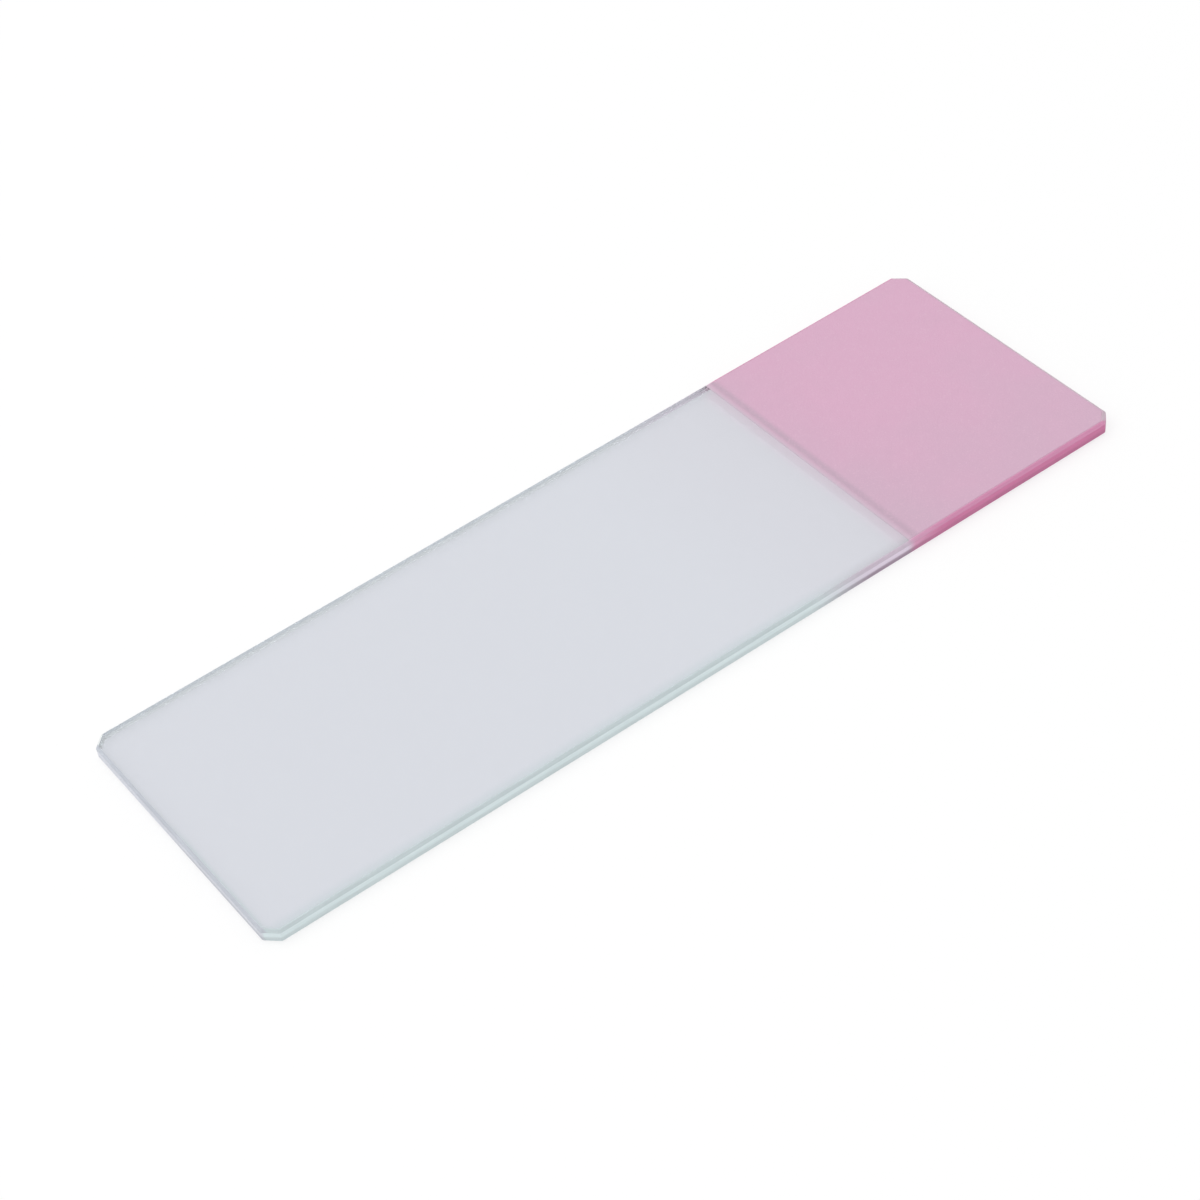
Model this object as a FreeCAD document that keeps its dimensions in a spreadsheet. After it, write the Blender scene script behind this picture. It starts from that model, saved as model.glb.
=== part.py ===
import FreeCAD, Part
import os
import Sketcher

# Microscope slide with clipped corners, ground edges and a colour frosted end.
#
# Two pieces: the glass plate, and the thin coat printed on one end of its upper
# face.  Millimetres.  The origin is the middle of the underside, +X runs along
# the slide towards the frosted end, and +Z is up.

DRIVING_SIZES = (
    # alias, value in mm, what it is
    ("slide_length", 76.2, "long side of the plate"),
    ("slide_width", 25.4, "short side of the plate"),
    ("glass_thickness", 1.2, "thickness of the plate"),
    ("corner_clip", 1.0, "leg of each 45 degree clipped corner"),
    ("corner_blend", 0.3, "radius where a clip runs into a side"),
    ("arris_bevel", 0.2, "leg of the 45 degree ground bevel round both faces"),
    ("coat_length", 20.0, "frosted end, from the end of the plate to the print edge"),
    ("coat_margin", 0.1, "bare glass between the bevel and the coat"),
    ("coat_thickness", 0.02, "thickness of the printed coat"),
)
SHEET = "Sizes"
PARTS_FOLDER = "parts"
TOUCH = 1e-6

# The coat stops this far inside the outline of the plate.  Its clipped corners
# stay parallel to those of the plate, which shortens their legs.
COAT_INSET = f"({SHEET}.arris_bevel + {SHEET}.coat_margin)"
COAT_CLIP = f"{SHEET}.corner_clip - {COAT_INSET} * (2 - sqrt(2))"


def add_sheet(doc):
    """The driving sizes, one to a row: what it is, then its value under its alias."""
    sheet = doc.addObject("Spreadsheet::Sheet", SHEET)
    for row, (alias, value, meaning) in enumerate(DRIVING_SIZES, start=1):
        sheet.set(f"A{row}", meaning)
        sheet.set(f"B{row}", str(value))
        sheet.setAlias(f"B{row}", alias)
    doc.recompute()


def add_body(doc, node):
    body = doc.addObject("PartDesign::Body", node)
    body.Label = node
    return body


def rectangle_sketch(body, name, length, width, end, side):
    """A rectangle on the body's own XY plane, with each size bound to a formula.

    length runs along X and width along Y.  end and side are how far the right
    and the upper line lie from the origin.
    """
    sketch = body.newObject("Sketcher::SketchObject", name)
    ground = next(f for f in body.Origin.OriginFeatures if f.Role == "XY_Plane")
    sketch.AttachmentSupport = [(ground, "")]
    sketch.MapMode = "FlatFace"

    corners = [FreeCAD.Vector(x, y) for x, y in ((-1, -1), (1, -1), (1, 1), (-1, 1))]
    for corner, following in zip(corners, corners[1:] + corners[:1]):
        sketch.addGeometry(Part.LineSegment(corner, following))

    lower, right, upper, left = range(4)
    origin = (-1, 1)
    begins, ends = 1, 2
    for line, following in ((lower, right), (right, upper), (upper, left), (left, lower)):
        sketch.addConstraint(Sketcher.Constraint("Coincident", line, ends, following, begins))
    for line in (lower, upper):
        sketch.addConstraint(Sketcher.Constraint("Horizontal", line))
    for line in (right, left):
        sketch.addConstraint(Sketcher.Constraint("Vertical", line))

    spans = (
        ("Length", "DistanceX", (lower, begins, lower, ends), length),
        ("Width", "DistanceY", (right, begins, right, ends), width),
        ("End", "DistanceX", (*origin, right, begins), end),
        ("Side", "DistanceY", (*origin, upper, begins), side),
    )
    for span, kind, points, formula in spans:
        index = sketch.addConstraint(Sketcher.Constraint(kind, *points, 1.0))
        sketch.renameConstraint(index, span)
        sketch.setExpression(f"Constraints.{span}", formula)
    return sketch


def pad_up(body, name, sketch, thickness):
    pad = body.newObject("PartDesign::Pad", name)
    pad.Profile = sketch
    pad.setExpression("Length", thickness)
    return pad


def dress(doc, body, kind, name, wanted, size, formula):
    """A chamfer or a fillet on the wanted edges of the body as it stands."""
    doc.recompute()
    base = body.Tip
    edges = enumerate(base.Shape.Edges, start=1)
    feature = body.newObject(kind, name)
    feature.Base = (base, [f"Edge{number}" for number, edge in edges if wanted(edge)])
    feature.setExpression(size, formula)
    return feature


def is_upright(edge):
    box = edge.BoundBox
    return box.XLength < TOUCH and box.YLength < TOUCH


def is_level(edge):
    return edge.BoundBox.ZLength < TOUCH


def build_glass_slide(doc):
    """The plate: a rectangle with its corners clipped, blended and all rims ground."""
    body = add_body(doc, "glass_slide")
    outline = rectangle_sketch(
        body,
        "PlateOutline",
        length=f"{SHEET}.slide_length",
        width=f"{SHEET}.slide_width",
        end=f"{SHEET}.slide_length / 2",
        side=f"{SHEET}.slide_width / 2",
    )
    pad_up(body, "Plate", outline, f"{SHEET}.glass_thickness")
    dress(doc, body, "PartDesign::Chamfer", "ClippedCorners",
          is_upright, "Size", f"{SHEET}.corner_clip")
    dress(doc, body, "PartDesign::Fillet", "BlendedCorners",
          is_upright, "Radius", f"{SHEET}.corner_blend")
    dress(doc, body, "PartDesign::Chamfer", "GroundArrises",
          is_level, "Size", f"{SHEET}.arris_bevel")
    return body


def build_frosted_end_coat(doc):
    """The printed coat: it lies on the upper face and follows the clipped end."""
    body = add_body(doc, "frosted_end_coat")
    outline = rectangle_sketch(
        body,
        "CoatOutline",
        length=f"{SHEET}.coat_length - {COAT_INSET}",
        width=f"{SHEET}.slide_width - 2 * {COAT_INSET}",
        end=f"{SHEET}.slide_length / 2 - {COAT_INSET}",
        side=f"{SHEET}.slide_width / 2 - {COAT_INSET}",
    )
    pad = pad_up(body, "Coat", outline, f"{SHEET}.coat_thickness")
    doc.recompute()
    middle = pad.Shape.BoundBox.Center.x

    def is_end_corner(edge):
        return is_upright(edge) and edge.BoundBox.Center.x > middle

    dress(doc, body, "PartDesign::Chamfer", "CoatCorners", is_end_corner, "Size", COAT_CLIP)
    body.setExpression(".Placement.Base.z", f"{SHEET}.glass_thickness")
    return body


def check(doc, bodies):
    """Stop at a failed feature, or at a sub-part that isn't one valid solid."""
    for item in doc.Objects:
        if "Invalid" in item.State or "Error" in item.State:
            raise RuntimeError(f"{item.Name} failed: {item.State}")
    for body in bodies:
        shape = body.Shape
        if shape.isNull() or not shape.isValid() or len(shape.Solids) != 1:
            raise RuntimeError(f"{body.Label} isn't one valid solid")


def main():
    doc = FreeCAD.newDocument("MicroscopeSlide")
    add_sheet(doc)
    bodies = [build_glass_slide(doc), build_frosted_end_coat(doc)]
    doc.recompute()
    check(doc, bodies)
    os.makedirs(PARTS_FOLDER, exist_ok=True)
    for body in bodies:
        body.Shape.exportStep(f"{PARTS_FOLDER}/{body.Label}.step")
        box = body.Shape.BoundBox
        print(f"{body.Label}: {box.XLength:.3f} x {box.YLength:.3f} x {box.ZLength:.3f} mm,",
              f"{body.Shape.Volume:.3f} mm3")


main()
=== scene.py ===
"""The looks of a microscope slide: clear glass, ground edges and a pink frosted end.

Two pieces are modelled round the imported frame, in metres and in its own axes: the
glass plate and the printed coat.  +X runs towards the frosted end and +Z is up.  The
near side is the long one at -Y, and the far side the one at +Y.
"""
import math

import bmesh
import bpy
from mathutils import Matrix, Vector


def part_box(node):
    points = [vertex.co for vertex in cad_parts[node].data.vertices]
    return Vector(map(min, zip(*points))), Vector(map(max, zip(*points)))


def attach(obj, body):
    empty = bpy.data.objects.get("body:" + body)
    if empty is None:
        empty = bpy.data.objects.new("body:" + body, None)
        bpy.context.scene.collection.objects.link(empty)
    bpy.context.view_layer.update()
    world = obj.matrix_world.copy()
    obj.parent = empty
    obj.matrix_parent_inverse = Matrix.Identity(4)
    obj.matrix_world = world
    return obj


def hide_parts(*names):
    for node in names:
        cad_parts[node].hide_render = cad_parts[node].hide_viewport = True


MM = 0.001
WHITE = (1, 1, 1, 1)

# The outer sizes of both pieces come from the frame's boxes.  These are the sizes
# of the grinding and the printing, which the boxes don't hold.
CORNER_CLIP = 1.0 * MM
CORNER_BLEND = 0.3 * MM
BLEND_STEPS = 6
ARRIS_BEVEL = 0.2 * MM
ARRIS_SOFTENING = 0.03 * MM
SOFTENING_STEPS = 2
PRINT_RIM_SOFTENING = 0.008 * MM
PRINT_BITE = 0.004 * MM

# ---------------------------------------------------------------- shader maths


class Value:
    """A number on a shader socket: each operator adds the Math node that works it out."""

    def __init__(self, nodes, socket):
        self.nodes = nodes
        self.socket = socket

    def maths(self, operation, *terms):
        sockets = dict(enumerate(terms))
        node = self.nodes.node("ShaderNodeMath", {"operation": operation}, sockets)
        return Value(self.nodes, node.outputs[0])

    def __add__(self, other):
        return self.maths("ADD", self, other)

    def __radd__(self, other):
        return self.maths("ADD", other, self)

    def __sub__(self, other):
        return self.maths("SUBTRACT", self, other)

    def __rsub__(self, other):
        return self.maths("SUBTRACT", other, self)

    def __mul__(self, other):
        return self.maths("MULTIPLY", self, other)

    def __rmul__(self, other):
        return self.maths("MULTIPLY", other, self)

    def __truediv__(self, other):
        return self.maths("DIVIDE", self, other)

    def size(self):
        """The value without its sign."""
        return self.maths("ABSOLUTE", self)

    def least(self, other):
        return self.maths("MINIMUM", self, other)

    def clamped(self):
        return self.maths("MINIMUM", self.maths("MAXIMUM", self, 0.0), 1.0)

    def risen(self, start, end):
        """0 before start, 1 after end, and a smooth rise between them."""
        sockets = {"Value": self, "From Min": start, "From Max": end}
        node = self.nodes.node(
            "ShaderNodeMapRange", {"interpolation_type": "SMOOTHSTEP"}, sockets
        )
        return Value(self.nodes, node.outputs[0])


class Nodes:
    """The node tree of a material or a world, built from nothing."""

    def __init__(self, owner):
        owner.use_nodes = True
        self.tree = owner.node_tree
        self.tree.nodes.clear()

    def node(self, kind, settings, sockets):
        """Adds a node: its settings first, then its sockets, by name or by number."""
        node = self.tree.nodes.new(kind)
        for setting, value in settings.items():
            setattr(node, setting, value)
        for place, value in sockets.items():
            if isinstance(value, Value):
                value = value.socket
            if isinstance(value, bpy.types.NodeSocket):
                self.tree.links.new(value, node.inputs[place])
            else:
                node.inputs[place].default_value = value
        return node

    def place(self):
        """Where the point lies on the piece, in metres."""
        return self.node("ShaderNodeTexCoord", {}, {}).outputs["Object"]

    def axes(self):
        split = self.node("ShaderNodeSeparateXYZ", {}, {0: self.place()})
        return [Value(self, output) for output in split.outputs]

    def clouds(self, size, detail=2.0, roughness=0.5):
        """Soft noise round 0.5.  size is that of its features along X, Y and Z."""
        scale = {"Vector": self.place(), "Scale": [1.0 / along for along in size]}
        scaled = self.node("ShaderNodeMapping", {}, scale).outputs[0]
        sockets = {"Vector": scaled, "Scale": 1.0, "Detail": detail, "Roughness": roughness}
        return Value(self, self.node("ShaderNodeTexNoise", {}, sockets).outputs[0])

    def blend(self, share, first, second):
        """The first colour where share is 0, and the second where it is 1."""
        factor, colour_a, colour_b, result = 0, 6, 7, 2
        sides = {colour_a: first, colour_b: second}
        colours = {
            place: colour if isinstance(colour, bpy.types.NodeSocket) else (*colour, 1.0)
            for place, colour in sides.items()
        }
        mix = self.node("ShaderNodeMix", {"data_type": "RGBA"}, {factor: share, **colours})
        return mix.outputs[result]

    def scaled(self, colour, share):
        """The colour made darker or lighter, with its hue kept."""
        sockets = {0: colour, "Scale": share}
        return self.node("ShaderNodeVectorMath", {"operation": "SCALE"}, sockets).outputs[0]

    def bump(self, height, depth):
        sockets = {"Strength": 1.0, "Distance": depth, "Height": height}
        return self.node("ShaderNodeBump", {}, sockets).outputs[0]

    def principled(self, sockets):
        return self.node("ShaderNodeBsdfPrincipled", {}, sockets).outputs[0]

    def mixed(self, share, first, second):
        """The first shader where share is 0, and the second where it is 1."""
        return self.node("ShaderNodeMixShader", {}, {0: share, 1: first, 2: second}).outputs[0]

    def light_path(self, kind):
        """1 for a ray of that kind."""
        return Value(self, self.node("ShaderNodeLightPath", {}, {}).outputs[f"Is {kind} Ray"])

    def shown_directly(self):
        """1 where the eye sees the surface itself, in a reflection or through glass."""
        straight, mirrored, through = (
            self.light_path(kind) for kind in ("Camera", "Glossy", "Transmission")
        )
        return (straight + mirrored + through).clamped()

    def show(self, shader, output="ShaderNodeOutputMaterial"):
        self.node(output, {}, {"Surface": shader})


def new_material(name):
    material = bpy.data.materials.new(name)
    return material, Nodes(material)


# ---------------------------------------------------------------- colours

# A faint lavender hue, darkened well past real glass as painted shade for the table's shadow under
# the slide.
GLASS_HUE_AND_PAINTED_SHADE = (0.699, 0.716, 0.765)
GLASS_HUE_AND_PAINTED_SHADE_TOWARDS_PRINT = (0.683, 0.687, 0.738)
# Painted pink light and shade: the coat's pink-lit, shaded table as seen through the glass by the
# printed edge.
GLASS_PAINTED_PINK_LIGHT_BY_PRINT = (0.74, 0.665, 0.745)
# Painted shade and refraction: the faces darken near each rim, as the ground walls seen through the
# glass would make them, and greyer by the print.
GLASS_PAINTED_EDGE_SHADE_NEAR = (0.585, 0.655, 0.685)
GLASS_PAINTED_EDGE_SHADE_FAR = (0.645, 0.668, 0.712)
GLASS_PAINTED_EDGE_SHADE_BY_PRINT = (0.56, 0.55, 0.60)
LET_THROUGH = (0.94, 0.95, 0.97, 1.0)

GROUND_AQUA = (0.84, 0.96, 0.98)
# The far side's ground glass is painted lighter, to make up for the little light that reaches the
# far walls seen from inside.
GROUND_AQUA_FAR_PAINTED_LIGHT = (0.91, 0.95, 0.955)
GROUND_LILAC_FAR_PAINTED_LIGHT = (0.94, 0.90, 0.94)
GROUND_LAVENDER = (0.74, 0.76, 0.83)
# Lilac, mauve and pink towards and below the print are painted pink light and shade from the coat,
# which the ground glass does not have of its own.
GROUND_LILAC_PAINTED_LIGHT = (0.90, 0.79, 0.93)
# Painted contact shadow at the near wall's foot, within the painted pink light by the print.
GROUND_MAUVE_PAINTED_SHADE = (0.465, 0.345, 0.455)
GROUND_PAINTED_PINK_UNDER_PRINT = (0.78, 0.235, 0.46)
GROUND_PAINTED_PINK_AT_PRINTED_END = (0.70, 0.30, 0.49)

ARRIS_AQUA = (0.62, 0.71, 0.73)
# Painted lighter for the far side, which little light reaches from inside.
ARRIS_GREY_FAR_PAINTED_LIGHT = (0.88, 0.91, 0.90)
ARRIS_LAVENDER = (0.55, 0.58, 0.64)
# Mauve, lilac and pink are painted pink light and shade from the coat; the lilac is also painted
# lighter for the far side.
ARRIS_MAUVE_PAINTED_LIGHT = (0.66, 0.55, 0.66)
ARRIS_LILAC_FAR_PAINTED_LIGHT = (0.84, 0.79, 0.85)
ARRIS_PAINTED_PINK = (0.77, 0.30, 0.51)
ARRIS_PAINTED_PALE_PINK = (0.70, 0.54, 0.63)

PRINT_PINK = (0.664, 0.392, 0.538)
PRINT_PINK_GREYED = (0.60, 0.405, 0.522)
PRINT_PINK_SPECK = (0.70, 0.47, 0.59)
# Painted shadow: the table's shade under the coat's edge, as seen through the print.
PRINT_PINK_PAINTED_SHADOW = (0.52, 0.365, 0.465)
PRINT_PINK_FADED = (0.59, 0.463, 0.557)

# ---------------------------------------------------------------- where they change

# Each change is a soft one, from the first of two places to the second.  These are
# measured along +X from the printed edge.
WARMER_GLASS_STARTS = (-16 * MM, -1 * MM)
# Where the painted pink light from the coat starts to bleed into the ground edges and into the
# faces' painted edge shade.
PAINTED_LILAC_STARTS = (-10 * MM, -3 * MM)
# Where the painted pink glow on the faces begins, up to the printed edge.
PAINTED_GLOW_STARTS = (-1.6 * MM, 0.0)
# Painted pink light and shade below the print: where it starts, and where it deepens.
PAINTED_PINK_STARTS = (-0.4 * MM, 0.5 * MM)
PAINTED_PINK_DEEPENS = (0.0, 3.5 * MM)
# On the far side the painted pink starts later, which leaves the far wall by the print painted
# lighter than its shade.
FAR_SIDE_PAINTED_PINK_STARTS = (-0.2 * MM, 1.0 * MM)
FADED_RIM_ENDS = (0.0, 0.5 * MM)
# The painted shadow band just inside the printed edge.
PAINTED_SHADOW_STARTS = (0.15 * MM, 0.55 * MM)
PAINTED_SHADOW_ENDS = (0.6 * MM, 1.15 * MM)
GREYER_PRINT_ENDS = (0.0, 6 * MM)

# These are measured along +Y from the middle, inwards from the rim, and upwards from
# the underside.
FAR_SIDE_STARTS = (-2 * MM, 2 * MM)
# How far the painted edge shade of the faces reaches in from the side rims and from the clear end.
SIDE_PAINTED_SHADE_ENDS = (ARRIS_BEVEL, 1.3 * MM)
END_PAINTED_SHADE_ENDS = (ARRIS_BEVEL, 0.7 * MM)
# How high the painted contact shadow reaches up the near wall's foot.
WALL_FOOT_PAINTED_SHADE_ENDS = (0.42 * MM, 0.72 * MM)

# ---------------------------------------------------------------- finishes

GLASS_IOR = 1.52

GROUND_CLEARNESS = 0.25
GRAIN_SIZE = (0.05 * MM, 0.05 * MM, 0.05 * MM)
STREAK_SIZE = (3 * MM, 3 * MM, 0.09 * MM)
MARKS_START = (0.4, 0.6)
MARKS_DEPTH = 0.006 * MM
MARKS_DARKEN = 0.1
MARKS_ROUGHEN = 0.1
WALL_ROUGHNESS = 0.6
ARRIS_ROUGHNESS = 0.55
# Painted contact shadow darkening the foot of the near wall.
FOOT_PAINTED_SHADE = 0.17
# Share of the painted pink light that comes at once at the printed edge.
PAINTED_PINK_AT_ONCE = 0.7

PRINT_IOR = 1.45
PRINT_ROUGHNESS = 0.42
TOOTH_SIZE = (0.13 * MM, 0.13 * MM, 0.13 * MM)
TOOTH_DEPTH = 0.03 * MM
TOOTH_ROUGHENS = 0.4
SPECKS_START = (0.5, 0.75)
SPECKS_COVER = 0.9
PATCH_SIZE = (4 * MM, 4 * MM, 4 * MM)
MOTTLE_SIZE = (1.2 * MM, 1.2 * MM, 1.2 * MM)
MOTTLE_DARKEST = 0.97
MOTTLE_LIGHTENS = 0.04
GREYER_NEAR_SIDE = 0.6
GREYER_UP_TO = 0.4
GREYER_BY_EDGE = 0.5
GREYER_IN_PATCHES = 0.8


def polished_glass(low, high, print_edge):
    """The two faces: clear, with a breath of lavender darkened as painted shade, a painted darker
    edge of shade and refraction near each rim, and a painted pink glow of light and shade by the
    print.
    """
    material, nodes = new_material("polished_glass")
    x, y, _ = nodes.axes()
    from_print = x - print_edge
    # Painted shade: the faces are darker than clear glass, and a little darker and warmer towards
    # the print.
    hue_and_painted_light = nodes.blend(from_print.risen(*WARMER_GLASS_STARTS), GLASS_HUE_AND_PAINTED_SHADE, GLASS_HUE_AND_PAINTED_SHADE_TOWARDS_PRINT)
    # Painted pink glow of light and shade by the print.
    glow = from_print.risen(*PAINTED_GLOW_STARTS)
    hue_and_painted_light = nodes.blend(glow * glow, hue_and_painted_light, GLASS_PAINTED_PINK_LIGHT_BY_PRINT)

    # A painted darker edge near each rim: shade and the refracted walls.
    from_side = high.y - y.size()
    from_end = x - low.x
    from_clip = (from_side + from_end - CORNER_CLIP) / math.sqrt(2)
    clear_of_sides = from_side.risen(*SIDE_PAINTED_SHADE_ENDS)
    clear_of_end = from_end.least(from_clip).risen(*END_PAINTED_SHADE_ENDS)
    painted_edge_shade = 1 - clear_of_sides.least(clear_of_end)
    near_painted_edge_shade = nodes.blend(
        from_print.risen(*PAINTED_LILAC_STARTS), GLASS_PAINTED_EDGE_SHADE_NEAR, GLASS_PAINTED_EDGE_SHADE_BY_PRINT
    )
    painted_edge_shade_colour = nodes.blend(y.risen(*FAR_SIDE_STARTS), near_painted_edge_shade, GLASS_PAINTED_EDGE_SHADE_FAR)

    shader = nodes.principled({
        "Base Color": nodes.blend(painted_edge_shade, hue_and_painted_light, painted_edge_shade_colour),
        "Roughness": 0.0,
        "IOR": GLASS_IOR,
        "Transmission Weight": 1.0,
    })
    clear = nodes.node("ShaderNodeBsdfTransparent", {}, {"Color": LET_THROUGH}).outputs[0]
    for kind in ("Shadow", "Diffuse"):
        shader = nodes.mixed(nodes.light_path(kind), shader, clear)
    nodes.show(shader)
    return material


def grinding(nodes):
    """Fine grain with faint streaks that run round the slide, as the wheel left them."""
    grain = nodes.clouds(GRAIN_SIZE, detail=3.0, roughness=0.7)
    streaks = nodes.clouds(STREAK_SIZE, detail=3.0)
    return ((grain + streaks) / 2).risen(*MARKS_START)


def shade_of(marks):
    """A little over 1 between the marks, and as much under 1 on them."""
    return (1 + MARKS_DARKEN / 2) - marks * MARKS_DARKEN


def show_ground_glass(nodes, marks, colour, roughness):
    """Satin, rougher where the wheel marked it, and with a little light in its depth."""
    nodes.show(nodes.principled({
        "Base Color": colour,
        "Roughness": roughness + marks * MARKS_ROUGHEN,
        "IOR": GLASS_IOR,
        "Transmission Weight": GROUND_CLEARNESS,
        "Normal": nodes.bump(marks, MARKS_DEPTH),
    }))


def painted_pink_below_print(from_print, far):
    """How far the ground edge carries painted pink light and shade from the print above it, on
    either side.
    """
    at_once = from_print.risen(*PAINTED_PINK_STARTS) * PAINTED_PINK_AT_ONCE
    deepened = from_print.risen(*PAINTED_PINK_DEEPENS) * (1 - PAINTED_PINK_AT_ONCE)
    return (at_once + deepened) * (1 - far) + from_print.risen(*FAR_SIDE_PAINTED_PINK_STARTS) * far


def ground_wall(low, high, print_edge):
    """The upright ground edge: aqua along the glass, lavender at its end, painted lighter on the
    far side, painted shadow along its near foot, and painted pink light and shade towards and below
    the print.
    """
    material, nodes = new_material("ground_wall")
    x, y, z = nodes.axes()
    from_print = x - print_edge
    # Painted pink light bleeds in towards the print, and the far side is painted lighter.
    by_print = from_print.risen(*PAINTED_LILAC_STARTS)
    far = y.risen(*FAR_SIDE_STARTS)
    # Painted contact shadow along the foot of the wall, in both its colour and its brightness.
    foot = 1 - (z - low.z).risen(*WALL_FOOT_PAINTED_SHADE_ENDS)
    lilac = nodes.blend(foot, GROUND_LILAC_PAINTED_LIGHT, GROUND_MAUVE_PAINTED_SHADE)
    near_colour = nodes.blend(by_print, GROUND_AQUA, lilac)
    far_painted_light_colour = nodes.blend(by_print, GROUND_AQUA_FAR_PAINTED_LIGHT, GROUND_LILAC_FAR_PAINTED_LIGHT)
    side_colour = nodes.blend(far, near_colour, far_painted_light_colour)
    past_clear_end = x.risen(low.x, low.x + ARRIS_BEVEL)
    clear_colour = nodes.blend(past_clear_end, GROUND_LAVENDER, side_colour)
    at_printed_end = x.risen(high.x - CORNER_CLIP, high.x - CORNER_CLIP / 2)
    # Painted pink light and shade below the print, lighter at the printed end.
    pink = nodes.blend(at_printed_end, GROUND_PAINTED_PINK_UNDER_PRINT, GROUND_PAINTED_PINK_AT_PRINTED_END)
    colour = nodes.blend(painted_pink_below_print(from_print, far), clear_colour, pink)
    marks = grinding(nodes)
    # The marks are the grinding's own tone; the foot term is painted shade.
    shade = shade_of(marks) - foot * (1 - far) * FOOT_PAINTED_SHADE
    show_ground_glass(nodes, marks, nodes.scaled(colour, shade), WALL_ROUGHNESS)
    return material


def ground_arris(low, high, print_edge):
    """The narrow bevel round both faces, and the bare strip of glass round the print: painted
    lighter on the far side, and painted pink light and shade towards and below the print.
    """
    material, nodes = new_material("ground_arris")
    x, y, _ = nodes.axes()
    from_print = x - print_edge
    # Painted pink light bleeds in towards the print, and the far side is painted lighter.
    by_print = from_print.risen(*PAINTED_LILAC_STARTS)
    far = y.risen(*FAR_SIDE_STARTS)
    near_colour = nodes.blend(by_print, ARRIS_AQUA, ARRIS_MAUVE_PAINTED_LIGHT)
    far_painted_light_colour = nodes.blend(by_print, ARRIS_GREY_FAR_PAINTED_LIGHT, ARRIS_LILAC_FAR_PAINTED_LIGHT)
    side_colour = nodes.blend(far, near_colour, far_painted_light_colour)
    past_clear_end = x.risen(low.x + ARRIS_BEVEL, low.x + 2 * ARRIS_BEVEL)
    clear_colour = nodes.blend(past_clear_end, ARRIS_LAVENDER, side_colour)
    # Painted pink light and shade below the print, paler on the strip inwards of the rim.
    inwards = (high.y - y.size()).risen(ARRIS_BEVEL, 2 * ARRIS_BEVEL)
    pink = nodes.blend(inwards, ARRIS_PAINTED_PINK, ARRIS_PAINTED_PALE_PINK)
    colour = nodes.blend(painted_pink_below_print(from_print, far), clear_colour, pink)
    marks = grinding(nodes)
    show_ground_glass(nodes, marks, nodes.scaled(colour, shade_of(marks)), ARRIS_ROUGHNESS)
    return material


def printed_pink(low, high):
    """The matte coat: a fine tooth that takes pencil, faintly cloudy, greyer towards one side, with
    a painted shadow just inside its edge by the clear glass.
    """
    material, nodes = new_material("printed_pink")
    x, y, _ = nodes.axes()
    from_edge = x - low.x
    near_side = 1 - y.risen(low.y, high.y * GREYER_UP_TO)
    by_edge = 1 - from_edge.risen(*GREYER_PRINT_ENDS)
    patches = nodes.clouds(PATCH_SIZE, detail=3.0) - 0.5
    greyed = near_side * GREYER_NEAR_SIDE + by_edge * GREYER_BY_EDGE + patches * GREYER_IN_PATCHES
    colour = nodes.blend(greyed.clamped(), PRINT_PINK, PRINT_PINK_GREYED)

    # Painted shadow just inside the printed edge.
    painted_shadow = from_edge.risen(*PAINTED_SHADOW_STARTS) - from_edge.risen(*PAINTED_SHADOW_ENDS)
    colour = nodes.blend(painted_shadow, colour, PRINT_PINK_PAINTED_SHADOW)
    faded = 1 - from_edge.risen(*FADED_RIM_ENDS)
    colour = nodes.blend(faded, colour, PRINT_PINK_FADED)

    tooth = nodes.clouds(TOOTH_SIZE, detail=4.0, roughness=0.7)
    specks = tooth.risen(*SPECKS_START) * SPECKS_COVER
    colour = nodes.blend(specks, colour, PRINT_PINK_SPECK)
    mottle = nodes.clouds(MOTTLE_SIZE, detail=4.0, roughness=0.6)
    nodes.show(nodes.principled({
        "Base Color": nodes.scaled(colour, MOTTLE_DARKEST + mottle * MOTTLE_LIGHTENS),
        "Roughness": PRINT_ROUGHNESS + tooth * TOOTH_ROUGHENS,
        "IOR": PRINT_IOR,
        "Normal": nodes.bump(tooth, TOOTH_DEPTH),
    }))
    return material


# ---------------------------------------------------------------- modelling

CLOSE = 0.001 * MM
BEVEL_TURNS_BY = math.radians(30)
SMOOTH_UP_TO = math.radians(35)

# The size of a normal's Z: 0 on an upright face, and 1 on a level one.
WALL_BELOW = 0.2
FACE_ABOVE = 0.999


def start_block(name, low, high):
    """A block between two corners, with its place in its mesh, left in edit mode."""
    bpy.ops.object.select_all(action="DESELECT")
    bpy.ops.mesh.primitive_cube_add(size=1.0, location=(low + high) / 2, scale=high - low)
    piece = bpy.context.active_object
    piece.name = name
    piece.data.name = name
    bpy.ops.object.transform_apply(location=True, rotation=True, scale=True)
    bpy.ops.object.mode_set(mode="EDIT")
    return piece


def pick_edges(piece, wanted):
    """Selects the wanted edges, and nothing else."""
    bpy.ops.mesh.select_mode(type="EDGE")
    bpy.ops.mesh.select_all(action="DESELECT")
    mesh = bmesh.from_edit_mesh(piece.data)
    for edge in mesh.edges:
        edge.select_set(wanted(edge))
    bmesh.update_edit_mesh(piece.data)


def is_upright(edge):
    a, b = (vert.co for vert in edge.verts)
    return abs(a.x - b.x) < CLOSE and abs(a.y - b.y) < CLOSE


def is_level(edge):
    a, b = (vert.co for vert in edge.verts)
    return abs(a.z - b.z) < CLOSE


def meets_a_bevel(edge):
    """Where a face or a wall runs into the ground bevel."""
    return is_level(edge) and edge.calc_face_angle(0.0) > BEVEL_TURNS_BY


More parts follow.
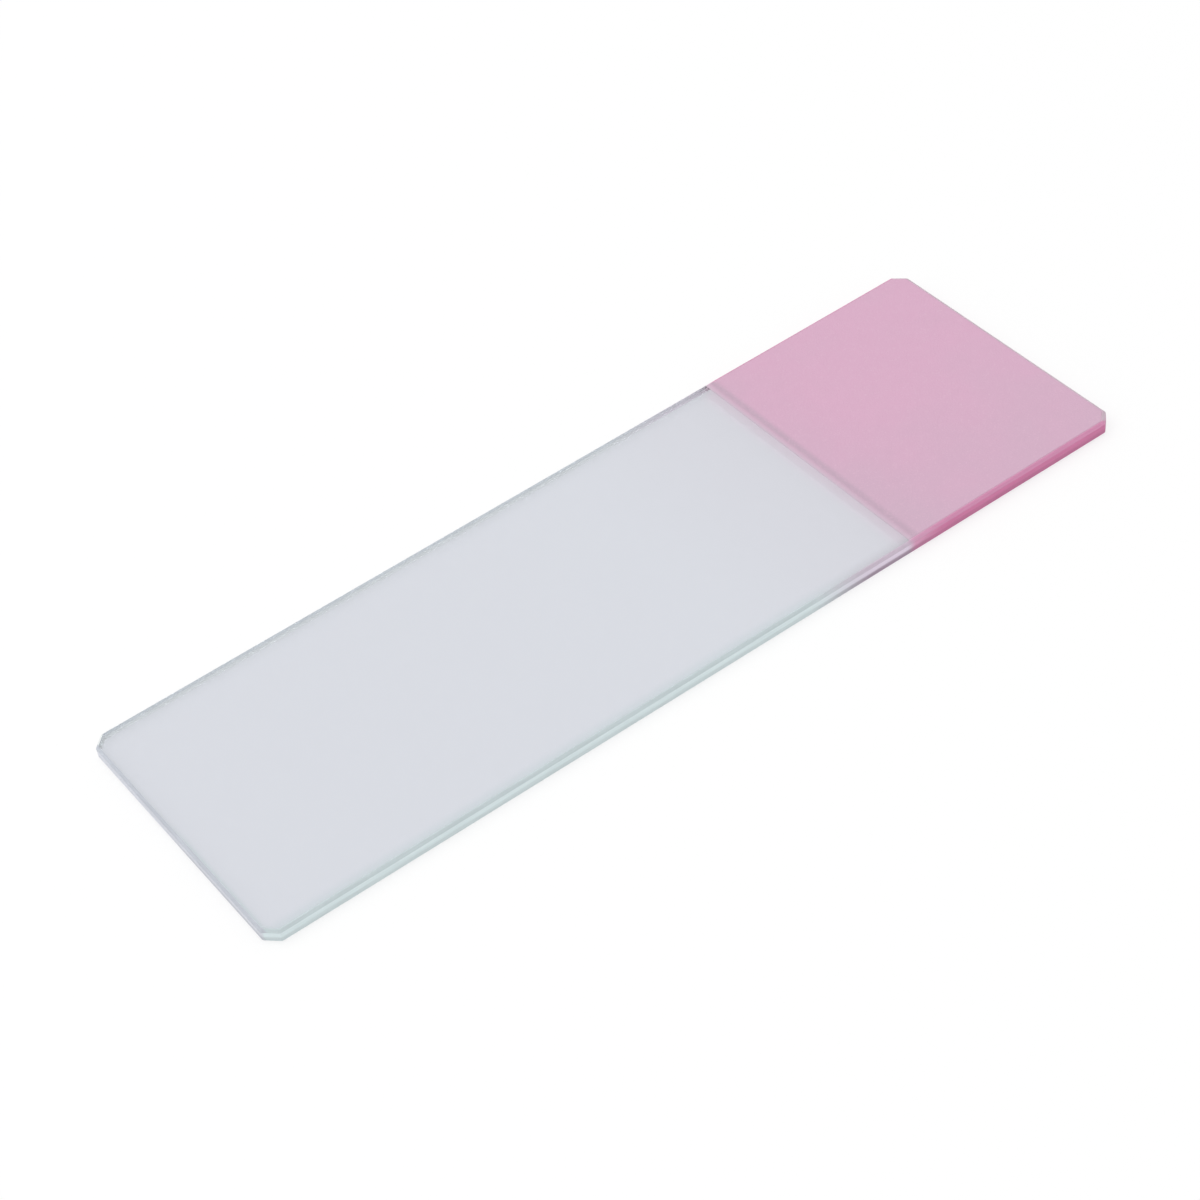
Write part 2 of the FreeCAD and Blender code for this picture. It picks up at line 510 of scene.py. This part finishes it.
def finish_piece(piece, materials):
    bpy.ops.object.mode_set(mode="OBJECT")
    bpy.ops.object.shade_smooth_by_angle(angle=SMOOTH_UP_TO)
    bpy.ops.object.modifier_add(type="WEIGHTED_NORMAL")
    bpy.ops.object.modifier_apply(modifier=piece.modifiers[-1].name)
    for material in materials:
        piece.data.materials.append(material)


def build_plate(low, high, print_edge):
    """The glass: corners clipped and blended, then every rim ground to a bevel."""
    plate = start_block("ground_edge_plate", low, high)
    pick_edges(plate, is_upright)
    bpy.ops.mesh.bevel(offset=CORNER_CLIP, affect="EDGES")
    pick_edges(plate, is_upright)
    tangent = CORNER_BLEND * math.tan(math.radians(45) / 2)
    bpy.ops.mesh.bevel(offset=tangent, segments=BLEND_STEPS, affect="EDGES")
    pick_edges(plate, is_level)
    bpy.ops.mesh.bevel(offset=ARRIS_BEVEL, affect="EDGES")
    pick_edges(plate, meets_a_bevel)
    bpy.ops.mesh.bevel(offset=ARRIS_SOFTENING, segments=SOFTENING_STEPS, affect="EDGES")

    # The upper face changes its finish at this cut, along the printed edge.
    bpy.ops.mesh.select_all(action="SELECT")
    bpy.ops.mesh.bisect(plane_co=(print_edge, 0, 0), plane_no=(1, 0, 0))
    finish_piece(plate, (
        polished_glass(low, high, print_edge),
        ground_wall(low, high, print_edge),
        ground_arris(low, high, print_edge),
    ))
    polished, wall, arris = range(3)
    for face in plate.data.polygons:
        levelness = abs(face.normal.z)
        round_the_print = face.normal.z > 0 and face.center.x > print_edge
        if levelness < WALL_BELOW:
            face.material_index = wall
        elif levelness < FACE_ABOVE or round_the_print:
            face.material_index = arris
        else:
            face.material_index = polished
    return plate


def build_print(low, high, plate_high):
    """The printed coat, whose two end corners run parallel to the clipped glass.

    Its underside lies a hair inside the glass, where it is bonded, so that no two
    faces coincide and it shows through from below.
    """
    coat = start_block("frosted_end_print", low - Vector((0, 0, PRINT_BITE)), high)
    inset = plate_high.x - high.x
    middle = (low + high) / 2
    pick_edges(coat, lambda edge: is_upright(edge) and edge.verts[0].co.x > middle.x)
    bpy.ops.mesh.bevel(offset=CORNER_CLIP - inset * (2 - math.sqrt(2)), affect="EDGES")
    pick_edges(coat, lambda edge: is_level(edge) and edge.verts[0].co.z > middle.z)
    bpy.ops.mesh.bevel(offset=PRINT_RIM_SOFTENING, segments=SOFTENING_STEPS, affect="EDGES")
    finish_piece(coat, (printed_pink(low, high),))
    return coat


# ---------------------------------------------------------------- the studio

FLOOR_WHITE = (0.95, 0.95, 0.95, 1.0)
FLOOR_SIZE = 4.0
FLOOR_GLOW = 0.75
FLOOR_FADES = (120 * MM, 500 * MM)
CLEARANCE = 0.04 * MM
SKY_LEVEL = 0.8

SOFTBOX_PLACE = (-0.3, 0.12, 0.8)
SOFTBOX_SIZE = 1.2
SOFTBOX_WATTS = 3.4

CAMERA_AZIMUTH = math.radians(-28.3)
CAMERA_ELEVATION = math.radians(42.8)
CAMERA_ROLL = math.radians(-10.8)
CAMERA_DISTANCE = 231 * MM
CAMERA_AIM = Vector((-2.0 * MM, -1.0 * MM, 0.6 * MM))
CAMERA_LENS = 94.0
CAMERA_NEAREST = 0.01
CAMERA_FURTHEST = 10.0


def build_floor():
    """A pale table that holds a soft shadow, and fades to plain white away from the slide."""
    material, nodes = new_material("pale_table")
    paint = nodes.node("ShaderNodeBsdfDiffuse", {}, {"Color": FLOOR_WHITE}).outputs[0]
    glow = nodes.node("ShaderNodeEmission", {}, {"Color": WHITE, "Strength": 1.0}).outputs[0]
    reach = nodes.node("ShaderNodeVectorMath", {"operation": "LENGTH"}, {0: nodes.place()})
    away = Value(nodes, reach.outputs["Value"]).risen(*FLOOR_FADES)
    share = nodes.shown_directly() * (FLOOR_GLOW + away * (1 - FLOOR_GLOW))
    nodes.show(nodes.mixed(share, paint, glow))
    bpy.ops.object.select_all(action="DESELECT")
    bpy.ops.mesh.primitive_plane_add(size=FLOOR_SIZE, location=(0, 0, -CLEARANCE))
    floor = bpy.context.active_object
    floor.name = "pale_table"
    floor.data.materials.append(material)


def build_sky():
    """Even white light from all round, and a white backdrop."""
    world = bpy.data.worlds.new("soft_studio")
    bpy.context.scene.world = world
    nodes = Nodes(world)
    light, backdrop = (
        nodes.node("ShaderNodeBackground", {}, {"Color": WHITE, "Strength": level}).outputs[0]
        for level in (SKY_LEVEL, 1.0)
    )
    sky = nodes.mixed(nodes.shown_directly(), light, backdrop)
    nodes.show(sky, output="ShaderNodeOutputWorld")


def add_softbox():
    """One large soft light overhead, turned to face the slide."""
    lamp = bpy.data.lights.new("overhead_softbox", "AREA")
    lamp.shape = "SQUARE"
    lamp.size = SOFTBOX_SIZE
    lamp.energy = SOFTBOX_WATTS
    box = bpy.data.objects.new("overhead_softbox", lamp)
    bpy.context.scene.collection.objects.link(box)
    box.location = SOFTBOX_PLACE
    box.rotation_mode = "QUATERNION"
    box.rotation_quaternion = Vector(SOFTBOX_PLACE).to_track_quat("Z", "Y")


def add_camera():
    """Looks down along the slide from its clear end, and is turned a little."""
    lens = bpy.data.cameras.new("camera")
    lens.lens = CAMERA_LENS
    lens.clip_start = CAMERA_NEAREST
    lens.clip_end = CAMERA_FURTHEST
    camera = bpy.data.objects.new("camera", lens)
    bpy.context.scene.collection.objects.link(camera)
    back = Vector((
        math.sin(CAMERA_AZIMUTH) * math.cos(CAMERA_ELEVATION),
        -math.cos(CAMERA_AZIMUTH) * math.cos(CAMERA_ELEVATION),
        math.sin(CAMERA_ELEVATION),
    ))
    level = Vector((0, 0, 1)).cross(back).normalized()
    right = math.cos(CAMERA_ROLL) * level + math.sin(CAMERA_ROLL) * back.cross(level)
    axes = Matrix((right, back.cross(right), back)).transposed().to_4x4()
    camera.matrix_world = Matrix.Translation(CAMERA_AIM + back * CAMERA_DISTANCE) @ axes
    bpy.context.scene.camera = camera


# ---------------------------------------------------------------- the scene

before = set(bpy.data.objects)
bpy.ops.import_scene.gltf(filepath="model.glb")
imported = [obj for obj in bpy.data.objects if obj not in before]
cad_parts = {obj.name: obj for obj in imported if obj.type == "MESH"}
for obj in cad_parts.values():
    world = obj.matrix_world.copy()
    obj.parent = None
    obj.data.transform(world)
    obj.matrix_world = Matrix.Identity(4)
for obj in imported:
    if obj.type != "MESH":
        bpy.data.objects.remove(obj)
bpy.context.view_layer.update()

glass_low, glass_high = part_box("glass_slide")
print_low, print_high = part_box("frosted_end_coat")

plate = build_plate(glass_low, glass_high, print_low.x)
coat = build_print(print_low, print_high, glass_high)
for piece, node, slot in (
    (plate, "glass_slide", "clear_glass"),
    (coat, "frosted_end_coat", "pink_coat"),
):
    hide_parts(node)
    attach(piece, "root")

build_floor()
build_sky()
add_softbox()
add_camera()
bpy.context.scene.view_settings.view_transform = "Standard"
